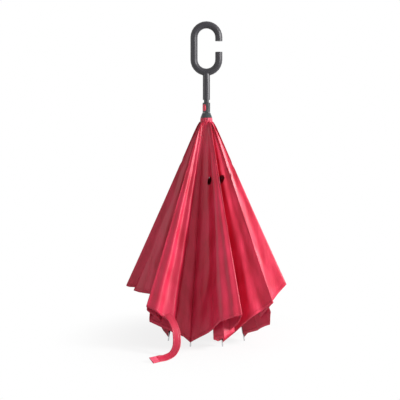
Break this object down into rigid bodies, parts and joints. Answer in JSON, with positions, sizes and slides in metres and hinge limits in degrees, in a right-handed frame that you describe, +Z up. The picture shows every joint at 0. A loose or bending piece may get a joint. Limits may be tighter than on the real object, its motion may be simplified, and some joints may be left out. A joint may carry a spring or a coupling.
{
  "type": "inverted umbrella",
  "caption": "Reverse-folding umbrella with a C-shaped hook handle, closed and standing on its rib tips.",
  "frame": {"origin": "centre of the ferrule's flat end face, on the shaft's axis; the rib tips stand 80 mm below it", "axes": "+Z up the shaft to the handle, -Y to the front, +X to the side where the handle's hook is open"},
  "size_m": [0.407, 0.4588, 0.8015],
  "materials": {
    "grip": "soft matte dark grey",
    "black_plastic": "smooth near-black moulding",
    "button_red": "satin red",
    "canopy_fabric": "fine plain weave with a satin sheen, crimson",
    "hook_patch": "short hooked pile, sewn on",
    "dark_steel": "black coated steel and fibre",
    "bright_steel": "bright plated"
  },
  "bodies": {
    "shaft": {"handle_grip": "grip", "button_housing": "black_plastic", "shaft_tube": "dark_steel", "opening_spring": "bright_steel", "spring_plug": "black_plastic", "button_leaf_spring": "bright_steel", "stretcher_hub": "black_plastic", "hub_ring_wire": "bright_steel", "ferrule": "black_plastic"},
    "button": {"push_button": "button_red", "latch_tongue": "bright_steel"},
    "runner": {"runner_sleeve": "black_plastic", "rib_ring_wire": "bright_steel", "crown_cap": "black_plastic", "canopy_crown": "canopy_fabric", "runner_pin": "bright_steel"},
    "rib_1": {"rib_1": "dark_steel", "rib_tip_1": "bright_steel"},
    "rib_2": {"rib_2": "dark_steel", "rib_tip_2": "bright_steel"},
    "rib_3": {"rib_3": "dark_steel", "rib_tip_3": "bright_steel"},
    "rib_4": {"rib_4": "dark_steel", "rib_tip_4": "bright_steel"},
    "rib_5": {"rib_5": "dark_steel", "rib_tip_5": "bright_steel"},
    "rib_6": {"rib_6": "dark_steel", "rib_tip_6": "bright_steel"},
    "rib_7": {"rib_7": "dark_steel", "rib_tip_7": "bright_steel"},
    "rib_8": {"rib_8": "dark_steel", "rib_tip_8": "bright_steel"},
    "stretcher_1": {"stretcher_1": "dark_steel"},
    "stretcher_2": {"stretcher_2": "dark_steel"},
    "stretcher_3": {"stretcher_3": "dark_steel"},
    "stretcher_4": {"stretcher_4": "dark_steel"},
    "stretcher_5": {"stretcher_5": "dark_steel"},
    "stretcher_6": {"stretcher_6": "dark_steel"},
    "stretcher_7": {"stretcher_7": "dark_steel"},
    "stretcher_8": {"stretcher_8": "dark_steel"},
    "gore_1a": {"gore_1a": "canopy_fabric"},
    "gore_1b": {"gore_1b": "canopy_fabric"},
    "gore_2a": {"gore_2a": "canopy_fabric"},
    "gore_2b": {"gore_2b": "canopy_fabric"},
    "gore_3a": {"gore_3a": "canopy_fabric"},
    "gore_3b": {"gore_3b": "canopy_fabric"},
    "gore_4a": {"gore_4a": "canopy_fabric"},
    "gore_4b": {"gore_4b": "canopy_fabric"},
    "gore_5a": {"gore_5a": "canopy_fabric"},
    "gore_5b": {"gore_5b": "canopy_fabric"},
    "gore_6a": {"gore_6a": "canopy_fabric"},
    "gore_6b": {"gore_6b": "canopy_fabric"},
    "gore_7a": {"gore_7a": "canopy_fabric"},
    "gore_7b": {"gore_7b": "canopy_fabric"},
    "gore_8a": {"gore_8a": "canopy_fabric"},
    "gore_8b": {"gore_8b": "canopy_fabric", "closing_strap": "canopy_fabric", "strap_patch": "hook_patch"}
  },
  "joints": [
    {"name": "runner_slide", "type": "slide", "parent": "shaft", "child": "runner", "axis": [0, 0, -1], "range_m": [0, 0.35305], "deforming": ["opening_spring", "canopy_crown"]},
    {"name": "button_press", "type": "slide", "parent": "shaft", "child": "button", "axis": [0.5736, 0.8192, 0], "range_m": [0, 0.0015], "stiffness_N_per_m": 800, "springref_m": -0.001, "deforming": ["button_leaf_spring"]},
    {"name": "rib_1_hinge", "type": "hinge", "parent": "runner", "child": "rib_1", "pos_m": [-0.00459, -0.01109, 0.476], "axis": [-0.9239, 0.3827, 0], "range_deg": [0, 106.66]},
    {"name": "rib_2_hinge", "type": "hinge", "parent": "runner", "child": "rib_2", "pos_m": [0.00459, -0.01109, 0.476], "axis": [-0.9239, -0.3827, 0], "range_deg": [0, 106.66]},
    {"name": "rib_3_hinge", "type": "hinge", "parent": "runner", "child": "rib_3", "pos_m": [0.01109, -0.00459, 0.476], "axis": [-0.3827, -0.9239, 0], "range_deg": [0, 106.66]},
    {"name": "rib_4_hinge", "type": "hinge", "parent": "runner", "child": "rib_4", "pos_m": [0.01109, 0.00459, 0.476], "axis": [0.3827, -0.9239, 0], "range_deg": [0, 106.66]},
    {"name": "rib_5_hinge", "type": "hinge", "parent": "runner", "child": "rib_5", "pos_m": [0.00459, 0.01109, 0.476], "axis": [0.9239, -0.3827, 0], "range_deg": [0, 106.66]},
    {"name": "rib_6_hinge", "type": "hinge", "parent": "runner", "child": "rib_6", "pos_m": [-0.00459, 0.01109, 0.476], "axis": [0.9239, 0.3827, 0], "range_deg": [0, 106.66]},
    {"name": "rib_7_hinge", "type": "hinge", "parent": "runner", "child": "rib_7", "pos_m": [-0.01109, 0.00459, 0.476], "axis": [0.3827, 0.9239, 0], "range_deg": [0, 106.66]},
    {"name": "rib_8_hinge", "type": "hinge", "parent": "runner", "child": "rib_8", "pos_m": [-0.01109, -0.00459, 0.476], "axis": [-0.3827, 0.9239, 0], "range_deg": [0, 106.66]},
    {"name": "stretcher_1_hinge", "type": "hinge", "parent": "shaft", "child": "stretcher_1", "pos_m": [-0.00536, -0.01293, 0.02], "axis": [0.9239, -0.3827, 0], "range_deg": [0, 36.29]},
    {"name": "stretcher_2_hinge", "type": "hinge", "parent": "shaft", "child": "stretcher_2", "pos_m": [0.00536, -0.01293, 0.02], "axis": [0.9239, 0.3827, 0], "range_deg": [0, 36.29]},
    {"name": "stretcher_3_hinge", "type": "hinge", "parent": "shaft", "child": "stretcher_3", "pos_m": [0.01293, -0.00536, 0.02], "axis": [0.3827, 0.9239, 0], "range_deg": [0, 36.29]},
    {"name": "stretcher_4_hinge", "type": "hinge", "parent": "shaft", "child": "stretcher_4", "pos_m": [0.01293, 0.00536, 0.02], "axis": [-0.3827, 0.9239, 0], "range_deg": [0, 36.29]},
    {"name": "stretcher_5_hinge", "type": "hinge", "parent": "shaft", "child": "stretcher_5", "pos_m": [0.00536, 0.01293, 0.02], "axis": [-0.9239, 0.3827, 0], "range_deg": [0, 36.29]},
    {"name": "stretcher_6_hinge", "type": "hinge", "parent": "shaft", "child": "stretcher_6", "pos_m": [-0.00536, 0.01293, 0.02], "axis": [-0.9239, -0.3827, 0], "range_deg": [0, 36.29]},
    {"name": "stretcher_7_hinge", "type": "hinge", "parent": "shaft", "child": "stretcher_7", "pos_m": [-0.01293, 0.00536, 0.02], "axis": [-0.3827, -0.9239, 0], "range_deg": [0, 36.29]},
    {"name": "stretcher_8_hinge", "type": "hinge", "parent": "shaft", "child": "stretcher_8", "pos_m": [-0.01293, -0.00536, 0.02], "axis": [0.3827, -0.9239, 0], "range_deg": [0, 36.29]},
    {"name": "gore_1a_fold", "type": "hinge", "parent": "rib_1", "child": "gore_1a", "pos_m": [-0.00459, -0.01109, 0.476], "axis": [-0.2512, -0.2661, 0.9306], "range_deg": [0, 10.73], "deforming": ["gore_1a"]},
    {"name": "gore_1b_fold", "type": "hinge", "parent": "rib_2", "child": "gore_1b", "pos_m": [0.00459, -0.01109, 0.476], "axis": [0.0123, -0.1366, -0.9906], "range_deg": [0, 82.49], "deforming": ["gore_1b"]},
    {"name": "gore_2a_fold", "type": "hinge", "parent": "rib_2", "child": "gore_2a", "pos_m": [0.00459, -0.01109, 0.476], "axis": [-0.0733, -0.0114, 0.9972], "range_deg": [0, 32.58], "deforming": ["gore_2a"]},
    {"name": "gore_2b_fold", "type": "hinge", "parent": "rib_3", "child": "gore_2b", "pos_m": [0.01109, -0.00459, 0.476], "axis": [0.0628, -0.0855, -0.9944], "range_deg": [0, 53.7], "deforming": ["gore_2b"]},
    {"name": "gore_3a_fold", "type": "hinge", "parent": "rib_3", "child": "gore_3a", "pos_m": [0.01109, -0.00459, 0.476], "axis": [-0.0999, -0.0113, 0.9949], "range_deg": [0, 45.12], "deforming": ["gore_3a"]},
    {"name": "gore_3b_fold", "type": "hinge", "parent": "rib_4", "child": "gore_3b", "pos_m": [0.01109, 0.00459, 0.476], "axis": [0.0936, -0.0158, -0.9955], "range_deg": [0, 42.15], "deforming": ["gore_3b"]},
    {"name": "gore_4a_fold", "type": "hinge", "parent": "rib_4", "child": "gore_4a", "pos_m": [0.01109, 0.00459, 0.476], "axis": [-0.035, -0.0797, 0.9962], "range_deg": [0, 41.54], "deforming": ["gore_4a"]},
    {"name": "gore_4b_fold", "type": "hinge", "parent": "rib_5", "child": "gore_4b", "pos_m": [0.00459, 0.01109, 0.476], "axis": [0.0812, 0.0445, -0.9957], "range_deg": [0, 44.55], "deforming": ["gore_4b"]},
    {"name": "gore_5a_fold", "type": "hinge", "parent": "rib_5", "child": "gore_5a", "pos_m": [0.00459, 0.01109, 0.476], "axis": [0.0333, -0.0815, 0.9961], "range_deg": [0, 42.86], "deforming": ["gore_5a"]},
    {"name": "gore_5b_fold", "type": "hinge", "parent": "rib_6", "child": "gore_5b", "pos_m": [-0.00459, 0.01109, 0.476], "axis": [0.0333, 0.0815, -0.9961], "range_deg": [0, 42.86], "deforming": ["gore_5b"]},
    {"name": "gore_6a_fold", "type": "hinge", "parent": "rib_6", "child": "gore_6a", "pos_m": [-0.00459, 0.01109, 0.476], "axis": [0.0805, -0.0398, 0.996], "range_deg": [0, 43.04], "deforming": ["gore_6a"]},
    {"name": "gore_6b_fold", "type": "hinge", "parent": "rib_7", "child": "gore_6b", "pos_m": [-0.01109, 0.00459, 0.476], "axis": [-0.0398, 0.0805, -0.996], "range_deg": [0, 43.04], "deforming": ["gore_6b"]},
    {"name": "gore_7a_fold", "type": "hinge", "parent": "rib_7", "child": "gore_7a", "pos_m": [-0.01109, 0.00459, 0.476], "axis": [0.0941, 0.0171, 0.9954], "range_deg": [0, 43.49], "deforming": ["gore_7a"]},
    {"name": "gore_7b_fold", "type": "hinge", "parent": "rib_8", "child": "gore_7b", "pos_m": [-0.01109, -0.00459, 0.476], "axis": [-0.0941, 0.0171, -0.9954], "range_deg": [0, 43.49], "deforming": ["gore_7b"]},
    {"name": "gore_8a_fold", "type": "hinge", "parent": "rib_8", "child": "gore_8a", "pos_m": [-0.01109, -0.00459, 0.476], "axis": [0.0255, 0.0822, 0.9963], "range_deg": [0, 42.58], "deforming": ["gore_8a"]},
    {"name": "gore_8b_fold", "type": "hinge", "parent": "rib_1", "child": "gore_8b", "pos_m": [-0.00459, -0.01109, 0.476], "axis": [-0.0822, -0.0255, -0.9963], "range_deg": [0, 42.58], "deforming": ["gore_8b", "closing_strap", "strap_patch"]}
  ],
  "couplings": [
    {"joint": "rib_1_hinge", "follows": "runner_slide", "rad_per_m": 5.2701},
    {"joint": "rib_2_hinge", "follows": "runner_slide", "rad_per_m": 5.2701},
    {"joint": "rib_3_hinge", "follows": "runner_slide", "rad_per_m": 5.2701},
    {"joint": "rib_4_hinge", "follows": "runner_slide", "rad_per_m": 5.2701},
    {"joint": "rib_5_hinge", "follows": "runner_slide", "rad_per_m": 5.2701},
    {"joint": "rib_6_hinge", "follows": "runner_slide", "rad_per_m": 5.2701},
    {"joint": "rib_7_hinge", "follows": "runner_slide", "rad_per_m": 5.2701},
    {"joint": "rib_8_hinge", "follows": "runner_slide", "rad_per_m": 5.2701},
    {"joint": "stretcher_1_hinge", "follows": "runner_slide", "rad_per_m": 1.7916},
    {"joint": "stretcher_2_hinge", "follows": "runner_slide", "rad_per_m": 1.7916},
    {"joint": "stretcher_3_hinge", "follows": "runner_slide", "rad_per_m": 1.7916},
    {"joint": "stretcher_4_hinge", "follows": "runner_slide", "rad_per_m": 1.7916},
    {"joint": "stretcher_5_hinge", "follows": "runner_slide", "rad_per_m": 1.7916},
    {"joint": "stretcher_6_hinge", "follows": "runner_slide", "rad_per_m": 1.7916},
    {"joint": "stretcher_7_hinge", "follows": "runner_slide", "rad_per_m": 1.7916},
    {"joint": "stretcher_8_hinge", "follows": "runner_slide", "rad_per_m": 1.7916},
    {"joint": "gore_1a_fold", "follows": "runner_slide", "rad_per_m": 0.52791},
    {"joint": "gore_1b_fold", "follows": "runner_slide", "rad_per_m": 4.0756},
    {"joint": "gore_2a_fold", "follows": "runner_slide", "rad_per_m": 1.6084},
    {"joint": "gore_2b_fold", "follows": "runner_slide", "rad_per_m": 2.6523},
    {"joint": "gore_3a_fold", "follows": "runner_slide", "rad_per_m": 2.2282},
    {"joint": "gore_3b_fold", "follows": "runner_slide", "rad_per_m": 2.081},
    {"joint": "gore_4a_fold", "follows": "runner_slide", "rad_per_m": 2.0513},
    {"joint": "gore_4b_fold", "follows": "runner_slide", "rad_per_m": 2.1999},
    {"joint": "gore_5a_fold", "follows": "runner_slide", "rad_per_m": 2.1162},
    {"joint": "gore_5b_fold", "follows": "runner_slide", "rad_per_m": 2.1162},
    {"joint": "gore_6a_fold", "follows": "runner_slide", "rad_per_m": 2.1252},
    {"joint": "gore_6b_fold", "follows": "runner_slide", "rad_per_m": 2.1252},
    {"joint": "gore_7a_fold", "follows": "runner_slide", "rad_per_m": 2.1476},
    {"joint": "gore_7b_fold", "follows": "runner_slide", "rad_per_m": 2.1476},
    {"joint": "gore_8a_fold", "follows": "runner_slide", "rad_per_m": 2.1026},
    {"joint": "gore_8b_fold", "follows": "runner_slide", "rad_per_m": 2.1026}
  ]
}
